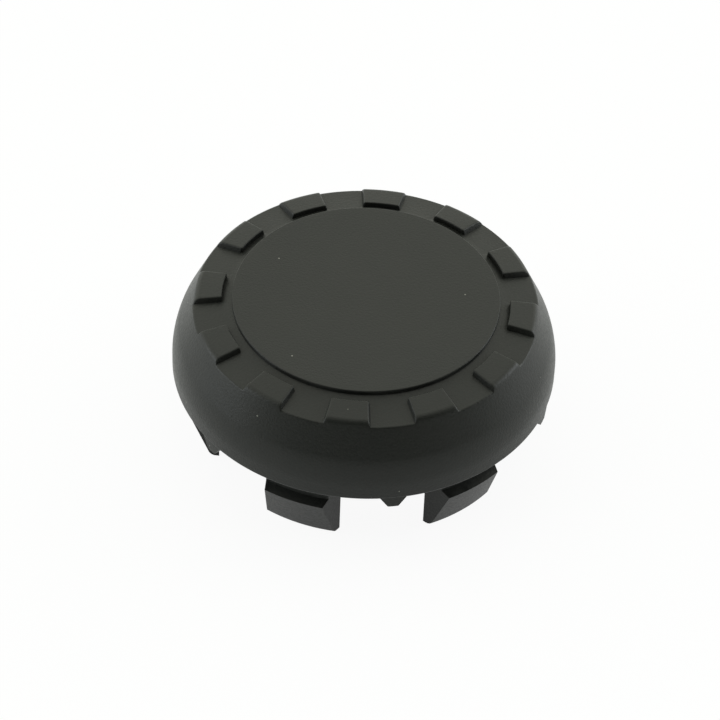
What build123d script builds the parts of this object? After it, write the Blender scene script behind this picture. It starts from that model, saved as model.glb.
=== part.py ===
from build123d import *
from math import cos, degrees, radians, tan
import os

# overall sizes in millimetres, the leg tips stand on the plane Z = 0
cap_diameter = 70.0
overall_height = 31.0
skirt_height = 16.2       # disc face to the lower edge of the rim
wall = 2.2

# raised disc and the moat around it
disc_inset = 10.8         # disc edge to the outside of the rim, along the radius
disc_step = 0.9           # disc face above the moat
moat_width = 1.8
moat_fall = 0.55
disc_edge_bevel = 0.2

# crown of blocks
block_count = 12
block_angle = 14.2        # degrees taken by one block
block_setback = 0.4       # block tops below the disc face
block_slope = 7.0         # degrees, block tops fall outwards
gap_floor_length = 5.2    # moat edge to shoulder, measured along the radius
gap_floor_fall = 0.55
block_edge_round = 1.3    # outer edge of the block tops
block_side_bevel = 0.2    # other edges of the block tops
shoulder_bevel = 0.25     # outer edge of the gap floors

# sloping flank and rim
flank_lean = 25.0         # degrees from upright
knee_round = 14.0
rim_bevel = 0.4

# snap legs
leg_count = 6
leg_width = 13.5          # across the inner face
leg_turn = 1.0            # degrees, legs stand clockwise of the gap centres
leg_end_slant = 15.0      # degrees, the ends draw together outwards
leg_inset = 6.8           # inner face of the legs to the outside of the rim
leg_thickness = 3.2
barb_reach = 1.6          # barb edge beyond the neck
barb_height = 9.5         # barb edge above the leg tip
ledge_rise = 0.8          # the holding face climbs towards the neck
tip_thickness = 1.4
tip_bevel = 0.8
leg_end_bevel = 0.25
root_flare = 1.0

# locating teeth under the rim
tooth_drop = 2.1
tooth_root_width = 5.0
tooth_tip_width = 1.7
tooth_thickness = 1.9
tooth_inset = 0.1         # tooth face behind the outside of the rim
tooth_round = 0.5

# heights, radii and angles that follow from the sizes above
cap_radius = cap_diameter / 2
disc_radius = cap_radius - disc_inset
z_disc = overall_height
z_rim = z_disc - skirt_height
z_moat = z_disc - disc_step
z_floor_in = z_moat - moat_fall
z_floor_out = z_floor_in - gap_floor_fall
z_block_in = z_disc - block_setback
block_inner_radius = disc_radius + moat_width
shoulder_radius = block_inner_radius + gap_floor_length
bevel_radius = shoulder_radius - shoulder_bevel
z_bevel = z_floor_out + shoulder_bevel * gap_floor_fall / gap_floor_length
z_bevel_end = z_bevel - (cap_radius - bevel_radius) * tan(radians((90 - flank_lean) / 2))
lean = tan(radians(flank_lean))
fall = tan(radians(block_slope))
z_knee = z_floor_out - (cap_radius - shoulder_radius) / lean
z_flank_axis = z_floor_out + shoulder_radius / lean
z_block_axis = z_block_in + block_inner_radius * fall
block_outer_radius = (z_flank_axis - z_block_axis) / (1 / lean - fall)
z_block_out = z_block_axis - block_outer_radius * fall
gap_angle = 360 / block_count - block_angle

# underside of the shell, one wall below the outside
inner_radius = cap_radius - wall
flank_wall = wall / cos(radians(flank_lean))
z_under_disc = z_disc - wall
z_under_crown = z_floor_out - wall
under_crown_radius = shoulder_radius - flank_wall + wall * lean
z_knee_in = z_knee - (flank_wall - wall) / lean

# snap leg section
leg_inner_radius = cap_radius - leg_inset
neck_radius = leg_inner_radius + leg_thickness
barb_radius = neck_radius + barb_reach
z_neck = barb_height + ledge_rise
z_root = z_under_crown + wall / 4
flare_radius = leg_inner_radius - root_flare
leg_sweep = degrees(2 * leg_width / leg_inner_radius)
slant = tan(radians(leg_end_slant))
half_width_in = leg_width / 2 + leg_inner_radius * slant
half_width_out = half_width_in - cap_radius * slant

# tooth section
tooth_radius = cap_radius - tooth_inset

# one leg on the X axis, turned round the cap's axis and cut to slanting ends
with BuildPart() as leg:
    with BuildSketch(Plane.XZ.rotated((0, 0, -leg_sweep / 2))) as leg_section:
        with BuildLine():
            Polyline(
                (flare_radius, z_root),
                (neck_radius, z_root),
                (neck_radius, z_neck),
                (barb_radius, barb_height),
                (leg_inner_radius + tip_thickness, 0),
                (leg_inner_radius, 0),
                (leg_inner_radius, z_under_crown - root_flare),
                (flare_radius, z_under_crown),
                close=True,
            )
        make_face()
        chamfer(leg_section.vertices().sort_by_distance((leg_inner_radius + tip_thickness, 0))[0], tip_bevel)
    revolve(axis=Axis.Z, revolution_arc=leg_sweep)
    with BuildSketch(Plane.XY):
        with BuildLine():
            Polyline(
                (0, -half_width_in),
                (cap_radius, -half_width_out),
                (cap_radius, half_width_out),
                (0, half_width_in),
                close=True,
            )
        make_face()
    extrude(amount=overall_height, mode=Mode.INTERSECT)
    leg_ends = leg.faces().filter_by(GeomType.PLANE).group_by(SortBy.AREA)[-1]
    below_root = leg_ends.edges().filter_by(lambda e: e.center().Z < z_under_crown - root_flare)
    chamfer(below_root, leg_end_bevel)

# one tooth on the X axis, curved with the rim
with BuildPart() as tooth:
    with BuildSketch(Plane.YZ) as tooth_face:
        with BuildLine():
            Polyline(
                (-tooth_root_width / 2, z_rim + rim_bevel),
                (-tooth_root_width / 2, z_rim),
                (-tooth_tip_width / 2, z_rim - tooth_drop),
                (tooth_tip_width / 2, z_rim - tooth_drop),
                (tooth_root_width / 2, z_rim),
                (tooth_root_width / 2, z_rim + rim_bevel),
                close=True,
            )
        make_face()
        fillet(tooth_face.vertices().group_by(Axis.Y)[0], tooth_round)
    extrude(amount=2 * cap_radius)
    Cylinder(tooth_radius, 2 * overall_height, mode=Mode.INTERSECT)
    Cylinder(tooth_radius - tooth_thickness, 2 * overall_height, mode=Mode.SUBTRACT)

# gap between two blocks, cut down to the sloping floor
with BuildPart() as gap:
    with BuildSketch(Plane.XZ):
        with BuildLine():
            Polyline(
                (block_inner_radius, z_floor_in),
                (bevel_radius, z_bevel),
                (cap_radius, z_bevel_end),
                (cap_radius, z_disc),
                (block_inner_radius, z_disc),
                close=True,
            )
        make_face()
    revolve(axis=Axis.Z, revolution_arc=gap_angle)

# cap body: disc, moat, crown ring, flank and rim turned from one section
with BuildPart() as wheel_cap:
    with BuildSketch(Plane.XZ) as section:
        with BuildLine():
            Polyline(
                (0, z_disc),
                (disc_radius, z_disc),
                (disc_radius, z_moat),
                (block_inner_radius, z_floor_in),
                (block_inner_radius, z_block_in),
                (block_outer_radius, z_block_out),
                (cap_radius, z_knee),
                (cap_radius, z_rim),
                (inner_radius, z_rim),
                (inner_radius, z_knee_in),
                (under_crown_radius, z_under_crown),
                (block_inner_radius, z_under_crown),
                (disc_radius - wall, z_under_disc),
                (0, z_under_disc),
                close=True,
            )
        make_face()
        chamfer(section.vertices().sort_by_distance((disc_radius, z_disc))[0], disc_edge_bevel)
        fillet(section.vertices().sort_by_distance((block_outer_radius, z_block_out))[0], block_edge_round)
        fillet(section.vertices().sort_by_distance((cap_radius, z_knee))[0], knee_round)
        chamfer(section.vertices().sort_by_distance((cap_radius, z_rim))[0], rim_bevel)
    revolve(axis=Axis.Z)
    with PolarLocations(0, block_count, start_angle=-gap_angle / 2):
        add(gap.part, mode=Mode.SUBTRACT)
    # the block tops are the smallest cones but for the shoulder bevels
    block_tops = wheel_cap.faces().filter_by(GeomType.CONE).group_by(SortBy.AREA)[1]
    block_ends = block_tops.edges().filter_by(GeomType.LINE)
    block_inner_edges = block_tops.edges().filter_by(GeomType.CIRCLE).group_by(Axis.Z)[-1]
    chamfer(block_ends + block_inner_edges, block_side_bevel)
    with PolarLocations(0, leg_count, start_angle=-leg_turn):
        add(leg.part)
    with PolarLocations(0, leg_count, start_angle=180 / leg_count):
        add(tooth.part)

wheel_cap.part.label = "wheel_cap"
os.makedirs("parts", exist_ok=True)
export_step(wheel_cap.part, "parts/wheel_cap.step")
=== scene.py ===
import math

import bmesh
import bpy
from mathutils import Matrix, Quaternion, Vector


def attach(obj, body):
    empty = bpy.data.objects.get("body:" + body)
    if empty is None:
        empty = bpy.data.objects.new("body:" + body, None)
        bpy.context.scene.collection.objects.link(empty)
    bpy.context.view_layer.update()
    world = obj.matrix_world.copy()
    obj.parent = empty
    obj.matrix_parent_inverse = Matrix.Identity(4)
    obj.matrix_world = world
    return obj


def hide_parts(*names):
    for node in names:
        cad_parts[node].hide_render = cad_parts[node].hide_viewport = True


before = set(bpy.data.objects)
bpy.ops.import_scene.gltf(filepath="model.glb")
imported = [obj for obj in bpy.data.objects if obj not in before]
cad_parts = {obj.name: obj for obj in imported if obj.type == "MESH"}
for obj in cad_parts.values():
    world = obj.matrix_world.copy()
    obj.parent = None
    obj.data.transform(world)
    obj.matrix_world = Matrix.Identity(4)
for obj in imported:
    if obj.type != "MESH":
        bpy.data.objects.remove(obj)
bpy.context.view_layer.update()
print("frame loaded")

mm = 0.001
upAxis = Vector((0, 0, 1))
centre = Vector((0, 0, 0))


def toLinear(hexColour):
    channels = [int(hexColour[i:i + 2], 16) / 255 for i in (1, 3, 5)]
    return [c / 12.92 if c <= 0.04045 else ((c + 0.055) / 1.055) ** 2.4 for c in channels] + [1.0]


def addNode(tree, kind, settings=None, inputs=None):
    # settings go on the node, inputs are plain values or sockets to link from
    node = tree.nodes.new(kind)
    for name, value in (settings or {}).items():
        setattr(node, name, value)
    for name, value in (inputs or {}).items():
        if isinstance(value, bpy.types.NodeSocket):
            tree.links.new(value, node.inputs[name])
        else:
            node.inputs[name].default_value = value
    return node


def radius(point):
    return math.hypot(point.x, point.y)


def drawLoop(bm, points, closed):
    # a section in the XZ plane from a few (radius, height) pairs in mm
    verts = [bm.verts.new((r * mm, 0, z * mm)) for r, z in points]
    edges = [bm.edges.new(pair) for pair in zip(verts, verts[1:])]
    if closed:
        edges.append(bm.edges.new((verts[-1], verts[0])))
    return verts, edges


# sizes of the shell in mm, the same as in the part's source
shell = {
    "capRadius": 35.0,
    "rimHeight": 14.8,
    "kneeHeight": 20.85,
    "kneeRound": 14.0,
    "wall": 2.2,
    "shoulder": (31.2, 29.0),       # radius and height where a gap floor ends
    "blockFoot": (26.0, 29.55),     # inner end of a gap floor
    "moatFoot": (24.2, 30.1),
    "discHeight": 31.0,
    "discRings": (9, 18, 23),       # keep the faces of the flat disc short
    "discRound": 0.2,
    "rimRound": 0.55,
    "rimInnerRound": 0.3,
    "underCrown": (29.8, 26.8),
    "underKnee": (32.8, 20.36),
    "underDisc": (22.0, 28.8),
}
blocks = {
    "count": 12,
    "topAngle": 14.2,               # degrees taken by the top of one block
    "footAngle": 15.6,              # the sides lean, as a mould needs
    "steps": 12,                    # facets along a block, and along a gap
    "topInner": (26.0, 30.6),
    "topOuter": (30.72, 30.02),
    "outerRound": 1.3,
    "sideRound": 0.25,
    "sharpTurn": 0.45,              # radians, edges that turn more are rounded
}


def buildShell():
    bm = bmesh.new()
    s = shell
    section = [(r, s["discHeight"]) for r in (0, *s["discRings"], s["moatFoot"][0])]
    section += [
        s["moatFoot"], s["blockFoot"], s["shoulder"],
        (s["capRadius"], s["kneeHeight"]), (s["capRadius"], s["rimHeight"]),
        (s["capRadius"] - s["wall"], s["rimHeight"]), s["underKnee"], s["underCrown"],
        (s["blockFoot"][0], s["underCrown"][1]), s["underDisc"], (0, s["underDisc"][1]),
    ]
    verts, edges = drawLoop(bm, section, closed=False)
    # blocks sit at 15 degrees, 45 degrees and so on, so the first spin starts half a block before one
    pitch = 360 / blocks["count"]
    start = math.radians((pitch - blocks["footAngle"]) / 2)
    bmesh.ops.rotate(bm, verts=verts, cent=centre, matrix=Matrix.Rotation(start, 3, "Z"))
    live = verts + edges
    for i in range(blocks["count"]):
        for angle in (blocks["footAngle"], pitch - blocks["footAngle"]):
            turned = bmesh.ops.spin(bm, geom=live, cent=centre, axis=upAxis, angle=math.radians(angle),
                                    steps=blocks["steps"], use_merge=False, use_duplicate=False)
            live = turned["geom_last"]
    bmesh.ops.remove_doubles(bm, verts=bm.verts, dist=0.01 * mm)
    bmesh.ops.recalc_face_normals(bm, faces=bm.faces)
    raiseBlocks(bm)
    roundEdges(bm)
    return bm


def isGapFloor(face):
    middle = face.calc_center_median()
    onRing = blocks["topInner"][0] < radius(middle) / mm < shell["shoulder"][0]
    return onRing and middle.z / mm > shell["shoulder"][1] and face.normal.z > 0.9


def raiseBlocks(bm):
    pitch = 360 / blocks["count"]
    narrow = blocks["topAngle"] / blocks["footAngle"] - 1
    for i in range(blocks["count"]):
        middle = Vector((1, 0))
        middle.rotate(Matrix.Rotation(math.radians((i + 0.5) * pitch), 2))
        reach = math.radians(blocks["footAngle"] / 2)
        floor = [f for f in bm.faces if isGapFloor(f) and f.calc_center_median().xy.angle(middle) < reach]
        raised = bmesh.ops.extrude_face_region(bm, geom=floor)
        bmesh.ops.delete(bm, geom=floor, context="FACES")
        for v in [g for g in raised["geom"] if isinstance(g, bmesh.types.BMVert)]:
            inner = radius(v.co) / mm < (blocks["topInner"][0] + shell["shoulder"][0]) / 2
            r, z = blocks["topInner"] if inner else blocks["topOuter"]
            off = v.co.xy.angle_signed(middle)
            flat = v.co.xy.normalized() * r * mm
            flat.rotate(Matrix.Rotation(off * narrow, 2))
            v.co = flat.to_3d() + upAxis * z * mm
    bm.normal_update()


def ringEdges(bm, r, z):
    # edges that run round the cap at one radius and height
    near = 0.02 * mm
    return [e for e in bm.edges
            if all(abs(radius(v.co) - r * mm) < near and abs(v.co.z - z * mm) < near for v in e.verts)]


def bevelEdges(bm, edges, width, segments):
    bmesh.ops.bevel(bm, geom=edges, offset=width * mm, offset_type="OFFSET", affect="EDGES",
                    segments=segments, profile=0.5, material=-1, clamp_overlap=True)


def roundEdges(bm):
    s = shell
    turn = math.atan2(s["capRadius"] - s["shoulder"][0], s["shoulder"][1] - s["kneeHeight"]) / 2
    bevelEdges(bm, ringEdges(bm, s["capRadius"], s["kneeHeight"]), s["kneeRound"] * math.tan(turn), 8)
    bevelEdges(bm, ringEdges(bm, *s["underKnee"]), (s["kneeRound"] - s["wall"]) * math.tan(turn), 5)
    bevelEdges(bm, ringEdges(bm, s["moatFoot"][0], s["discHeight"]), s["discRound"], 3)
    bevelEdges(bm, ringEdges(bm, s["capRadius"], s["rimHeight"]), s["rimRound"], 4)
    bevelEdges(bm, ringEdges(bm, s["capRadius"] - s["wall"], s["rimHeight"]), s["rimInnerRound"], 2)
    (inR, inZ), (outR, outZ) = blocks["topInner"], blocks["topOuter"]
    fall = math.atan2(inZ - outZ, outR - inR)
    outerWidth = blocks["outerRound"] * math.tan(math.pi / 4 - turn - fall / 2)
    bevelEdges(bm, ringEdges(bm, outR, outZ), outerWidth, 6)
    bm.normal_update()
    # what is left sharp on the blocks and at the shoulder
    sharp = []
    for e in bm.edges:
        if len(e.link_faces) != 2 or e.calc_face_angle_signed() < blocks["sharpTurn"]:
            continue
        middle = (e.verts[0].co + e.verts[1].co) / 2
        if radius(middle) / mm > blocks["topInner"][0] - 0.1 and middle.z / mm > s["shoulder"][1] - 0.05:
            sharp.append(e)
    bevelEdges(bm, sharp, blocks["sideRound"], 3)


# snap legs
legs = {
    "count": 6,
    "width": 13.5,                  # across the inner face
    "turn": -1.0,                   # degrees from the gap centres
    "endSlant": 15.0,               # degrees, the ends draw together outwards
    "innerRadius": 28.2,
    "thickness": 3.2,
    "barbReach": 1.6,
    "barbHeight": 9.5,
    "ledgeRise": 0.8,
    "tipThickness": 1.4,
    "tipRound": 0.9,
    "rootFlare": 1.0,
    "rootHeight": 27.3,
    "endRound": 0.3,
    "cornerRound": 0.7,             # lower corners of the ends
    "sharpTurn": 0.5,               # radians
    "steps": 36,                    # facets along the arc, before the ends are cut
}


def buildLegs():
    bm = bmesh.new()
    g = legs
    neck = g["innerRadius"] + g["thickness"]
    underCrown = shell["underCrown"][1]
    section = [
        (g["innerRadius"] - g["rootFlare"], g["rootHeight"]), (neck, g["rootHeight"]),
        (neck, g["barbHeight"] + g["ledgeRise"]), (neck + g["barbReach"], g["barbHeight"]),
        (g["innerRadius"] + g["tipThickness"], 0), (g["innerRadius"], 0),
        (g["innerRadius"], underCrown - g["rootFlare"]), (g["innerRadius"] - g["rootFlare"], underCrown),
    ]
    verts, edges = drawLoop(bm, section, closed=True)
    arc = 2 * g["width"] / g["innerRadius"]
    bmesh.ops.rotate(bm, verts=verts, cent=centre, matrix=Matrix.Rotation(-arc / 2, 3, "Z"))
    bmesh.ops.spin(bm, geom=verts + edges, cent=centre, axis=upAxis, angle=arc, steps=g["steps"],
                   use_merge=False, use_duplicate=False)
    # both ends are cut flat, slanting inwards
    slant = math.radians(g["endSlant"])
    for side in (1, -1):
        onPlane = Vector((g["innerRadius"] * mm, side * g["width"] / 2 * mm, 0))
        outwards = Vector((math.sin(slant), side * math.cos(slant), 0))
        bmesh.ops.bisect_plane(bm, geom=list(bm.verts) + list(bm.edges) + list(bm.faces), dist=0.001 * mm,
                               plane_co=onPlane, plane_no=outwards, clear_outer=True)
    bmesh.ops.holes_fill(bm, edges=[e for e in bm.edges if e.is_boundary])
    bmesh.ops.remove_doubles(bm, verts=bm.verts, dist=0.002 * mm)
    bmesh.ops.recalc_face_normals(bm, faces=bm.faces)
    tip = g["innerRadius"] + g["tipThickness"]
    bevelEdges(bm, ringEdges(bm, tip, 0), g["tipRound"], 4)
    bm.normal_update()
    corners = [e for e in bm.edges if all(v.co.z < 0.01 * mm for v in e.verts)
               and any(abs(f.normal.y) > 0.9 for f in e.link_faces)]
    bevelEdges(bm, corners, g["cornerRound"], 4)
    bm.normal_update()
    ends = [e for e in bm.edges if len(e.link_faces) == 2 and e.calc_face_angle_signed() > g["sharpTurn"]
            and max(v.co.z for v in e.verts) / mm < underCrown]
    bevelEdges(bm, ends, g["endRound"], 3)
    # turned to its place, then copied round the cap
    toPlace = Matrix.Rotation(math.radians(g["turn"]), 3, "Z")
    bmesh.ops.rotate(bm, verts=bm.verts, cent=centre, matrix=toPlace)
    turn = math.tau / g["count"]
    bmesh.ops.spin(bm, geom=list(bm.verts) + list(bm.edges) + list(bm.faces), cent=centre, axis=upAxis,
                   angle=turn * (g["count"] - 1), steps=g["count"] - 1, use_duplicate=True)
    return bm


# locating teeth under the rim
teeth = {
    "count": 6,
    "drop": 2.1,
    "rootWidth": 5.0,
    "tipWidth": 1.7,
    "thickness": 1.9,
    "inset": 0.1,                   # behind the outside of the rim
    "sunk": 0.4,                    # how far the root reaches into the rim
    "tipRound": 0.45,
    "cuts": 7,                      # along the curve of the rim
}


def buildTeeth():
    bm = bmesh.new()
    t = teeth
    bmesh.ops.create_cube(bm, size=1.0)
    for v in bm.verts:
        width = t["rootWidth"] if v.co.z > 0 else t["tipWidth"]
        v.co.y *= width * mm
        v.co.z = (shell["rimHeight"] + (t["sunk"] if v.co.z > 0 else -t["drop"])) * mm
    lengthwise = [e for e in bm.edges if abs(e.verts[0].co.y - e.verts[1].co.y) > 0.5 * mm]
    bmesh.ops.subdivide_edges(bm, edges=lengthwise, cuts=t["cuts"], use_grid_fill=True)
    outside = shell["capRadius"] - t["inset"]
    for v in bm.verts:
        r = (outside if v.co.x > 0 else outside - t["thickness"]) * mm
        v.co.x = math.sqrt(r * r - v.co.y * v.co.y)      # bent to the rim's own curve
    bmesh.ops.recalc_face_normals(bm, faces=bm.faces)
    low = (shell["rimHeight"] - t["drop"]) * mm
    tips = [e for e in bm.edges if e.calc_face_angle(0) > legs["sharpTurn"]
            and all(abs(v.co.z - low) < 0.01 * mm for v in e.verts)]
    bevelEdges(bm, tips, t["tipRound"], 3)
    turn = math.tau / t["count"]
    everything = list(bm.verts) + list(bm.edges) + list(bm.faces)
    bmesh.ops.rotate(bm, verts=bm.verts, cent=centre, matrix=Matrix.Rotation(turn / 2, 3, "Z"))
    bmesh.ops.spin(bm, geom=everything, cent=centre, axis=upAxis, angle=turn * (t["count"] - 1),
                   steps=t["count"] - 1, use_duplicate=True)
    return bm


creaseAngle = 38    # degrees, edges that turn more stay crisp


def buildCap():
    mesh = bpy.data.meshes.new("wheelCap")
    joined = bmesh.new()
    for build in (buildShell, buildLegs, buildTeeth):
        bm = build()
        part = bpy.data.meshes.new(build.__name__)
        bm.to_mesh(part)
        bm.free()
        joined.from_mesh(part)
        bpy.data.meshes.remove(part)
        print(build.__name__, len(joined.faces), "faces so far")
    joined.to_mesh(mesh)
    joined.free()
    for p in mesh.polygons:
        p.use_smooth = True
    mesh.set_sharp_from_angle(angle=math.radians(creaseAngle))
    cap = bpy.data.objects.new("wheelCap", mesh)
    bpy.context.scene.collection.objects.link(cap)
    # keeps the flats flat beside the narrow rounds
    even = cap.modifiers.new("evenNormals", "WEIGHTED_NORMAL")
    even.keep_sharp = True
    return cap


# moulded polypropylene, spark-eroded mould: a dry charcoal with a fine grain and a soft sheen at low angles
plasticLook = {
    "base": "#1F2120",
    "faded": "#252624",
    "dust": "#A9A9A0",
    "ior": 1.49,
    "gloss": 0.25,        # the grain breaks up part of the shine
    "roughLow": 0.30,
    "roughHigh": 0.44,
    "grainMm": 0.45,      # the mould's grain is about 0.15 mm, drawn coarser so that it shows
    "grainDepthMm": 0.06,
    "grainStrength": 0.8,
    "mottleMm": 9.0,
    "dustMm": 5.5,        # mean distance between specks
    "speck": (0.035, 0.015),    # where a speck begins and is full, as shares of that distance
    "speckStrength": 0.5,
}


def mouldedPlastic():
    k = plasticLook
    mat = bpy.data.materials.new("mouldedPolypropylene")
    mat.use_nodes = True
    tree = mat.node_tree
    shader = tree.nodes["Principled BSDF"]
    place = addNode(tree, "ShaderNodeTexCoord").outputs["Object"]
    grain = addNode(tree, "ShaderNodeTexNoise", {}, {
        "Vector": place, "Scale": 1 / (k["grainMm"] * mm), "Detail": 3.0, "Roughness": 0.6})
    mottle = addNode(tree, "ShaderNodeTexNoise", {}, {
        "Vector": place, "Scale": 1 / (k["mottleMm"] * mm), "Detail": 4.0})
    tone = addNode(tree, "ShaderNodeMix", {"data_type": "RGBA"}, {
        0: mottle.outputs["Fac"], 6: toLinear(k["base"]), 7: toLinear(k["faded"])})
    # a speck of dust at the points of a scattered pattern
    cells = addNode(tree, "ShaderNodeTexVoronoi", {}, {"Vector": place, "Scale": 1 / (k["dustMm"] * mm)})
    speck = addNode(tree, "ShaderNodeMapRange", {}, {
        "Value": cells.outputs["Distance"], "From Min": k["speck"][0], "From Max": k["speck"][1],
        "To Min": 0.0, "To Max": k["speckStrength"]})
    dusted = addNode(tree, "ShaderNodeMix", {"data_type": "RGBA"}, {
        0: speck.outputs["Result"], 6: tone.outputs[2], 7: toLinear(k["dust"])})
    tree.links.new(dusted.outputs[2], shader.inputs["Base Color"])
    rough = addNode(tree, "ShaderNodeMapRange", {}, {
        "Value": grain.outputs["Fac"], "From Min": 0.3, "From Max": 0.7,
        "To Min": k["roughLow"], "To Max": k["roughHigh"]})
    tree.links.new(rough.outputs["Result"], shader.inputs["Roughness"])
    bump = addNode(tree, "ShaderNodeBump", {}, {
        "Strength": k["grainStrength"], "Distance": k["grainDepthMm"] * mm, "Height": grain.outputs["Fac"]})
    tree.links.new(bump.outputs["Normal"], shader.inputs["Normal"])
    shader.inputs["IOR"].default_value = k["ior"]
    shader.inputs["Specular IOR Level"].default_value = k["gloss"]
    return mat


cap = buildCap()
cap.data.materials.append(mouldedPlastic())
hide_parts("wheel_cap")
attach(cap, "root")
print("cap built")

# white paper sweep: near white to the eye, with a faint shadow under the rim
sweep = {
    "paper": "#F1F5F5",
    "size": 6.0,          # metres
    "whiten": 0.93,       # share of plain white that the eye sees
    "whitenGloss": 0.55,  # the same in the shine of the plastic
}


def paperSweep():
    bm = bmesh.new()
    bmesh.ops.create_grid(bm, x_segments=1, y_segments=1, size=sweep["size"] / 2)
    mesh = bpy.data.meshes.new("paperSweep")
    bm.to_mesh(mesh)
    bm.free()
    floor = bpy.data.objects.new("paperSweep", mesh)
    bpy.context.scene.collection.objects.link(floor)
    mat = bpy.data.materials.new("mattPaper")
    mat.use_nodes = True
    tree = mat.node_tree
    tree.nodes.remove(tree.nodes["Principled BSDF"])
    paper = addNode(tree, "ShaderNodeBsdfDiffuse", {}, {"Color": toLinear(sweep["paper"])})
    glow = addNode(tree, "ShaderNodeEmission", {}, {"Strength": 1.0})
    ray = addNode(tree, "ShaderNodeLightPath")
    shine = addNode(tree, "ShaderNodeMath", {"operation": "MAXIMUM"}, {
        0: ray.outputs["Is Glossy Ray"], 1: ray.outputs["Is Transmission Ray"]})
    dimmed = addNode(tree, "ShaderNodeMath", {"operation": "MULTIPLY"}, {
        0: shine.outputs[0], 1: sweep["whitenGloss"]})
    direct = addNode(tree, "ShaderNodeMath", {"operation": "MULTIPLY"}, {
        0: ray.outputs["Is Camera Ray"], 1: sweep["whiten"]})
    share = addNode(tree, "ShaderNodeMath", {"operation": "MAXIMUM"}, {
        0: direct.outputs[0], 1: dimmed.outputs[0]})
    both = addNode(tree, "ShaderNodeMixShader", {}, {
        0: share.outputs[0], 1: paper.outputs[0], 2: glow.outputs[0]})
    tree.links.new(both.outputs[0], tree.nodes["Material Output"].inputs["Surface"])
    mesh.materials.append(mat)
    return floor


paperSweep()
print("paper laid")

# soft lamps at both sides, place and size in metres, power in watts
lamps = {
    "leftSide": {"place": (-0.9, 0.1, 0.2), "size": 0.6, "power": 2.8, "colour": "#EEF6FF"},
    "rightSide": {"place": (0.9, 0.1, 0.2), "size": 0.6, "power": 3.2, "colour": "#F2F8FF"},
}
# a tent of white cloth over and behind the cap, open and dim on the viewer's side
tent = {
    "colour": "#FDFFF2",
    "bright": 1.42,
    "dim": 0.05,
    "opens": (-0.6, 0.1),     # how far forward the cloth comes, as the Y of the direction
}


def lightTent():
    for name, lamp in lamps.items():
        data = bpy.data.lights.new(name, "AREA")
        data.energy = lamp["power"]
        data.size = lamp["size"]
        data.color = toLinear(lamp["colour"])[:3]
        light = bpy.data.objects.new(name, data)
        light.location = lamp["place"]
        light.rotation_euler = (-Vector(lamp["place"])).to_track_quat("-Z", "Y").to_euler()
        bpy.context.scene.collection.objects.link(light)
    world = bpy.data.worlds.new("lightTent")
    world.use_nodes = True
    tree = world.node_tree
    toward = addNode(tree, "ShaderNodeTexCoord")
    split = addNode(tree, "ShaderNodeSeparateXYZ", {}, {0: toward.outputs["Generated"]})
    cloth = addNode(tree, "ShaderNodeMapRange", {"interpolation_type": "SMOOTHSTEP"}, {
        "Value": split.outputs["Y"], "From Min": tent["opens"][0], "From Max": tent["opens"][1],
        "To Min": tent["dim"], "To Max": tent["bright"]})
    back = tree.nodes["Background"]
    back.inputs["Color"].default_value = toLinear(tent["colour"])
    tree.links.new(cloth.outputs["Result"], back.inputs["Strength"])
    bpy.context.scene.world = world


lightTent()
print("lights set")

view = {
    "target": (-0.65, 0.12, 15.07),   # mm
    "azimuth": -10.285,               # degrees from the front, to the left
    "elevation": 44.245,
    "distance": 617.0,                # mm
    "roll": 2.326,
    "lens": 168.27,
}


def setCamera():
    data = bpy.data.cameras.new("photoView")
    data.sensor_width = 36.0
    data.lens = view["lens"]
    data.clip_start = 0.01
    camera = bpy.data.objects.new("photoView", data)
    around, lift = math.radians(view["azimuth"]), math.radians(view["elevation"])
    away = Vector((math.sin(around) * math.cos(lift), -math.cos(around) * math.cos(lift), math.sin(lift)))
    camera.location = (Vector(view["target"]) + away * view["distance"]) * mm
    level = (-away).to_track_quat("-Z", "Y")
    camera.rotation_euler = (level @ Quaternion((0, 0, 1), math.radians(view["roll"]))).to_euler()
    bpy.context.scene.collection.objects.link(camera)
    bpy.context.scene.camera = camera


setCamera()
bpy.context.scene.view_settings.view_transform = "Standard"
print("camera set")
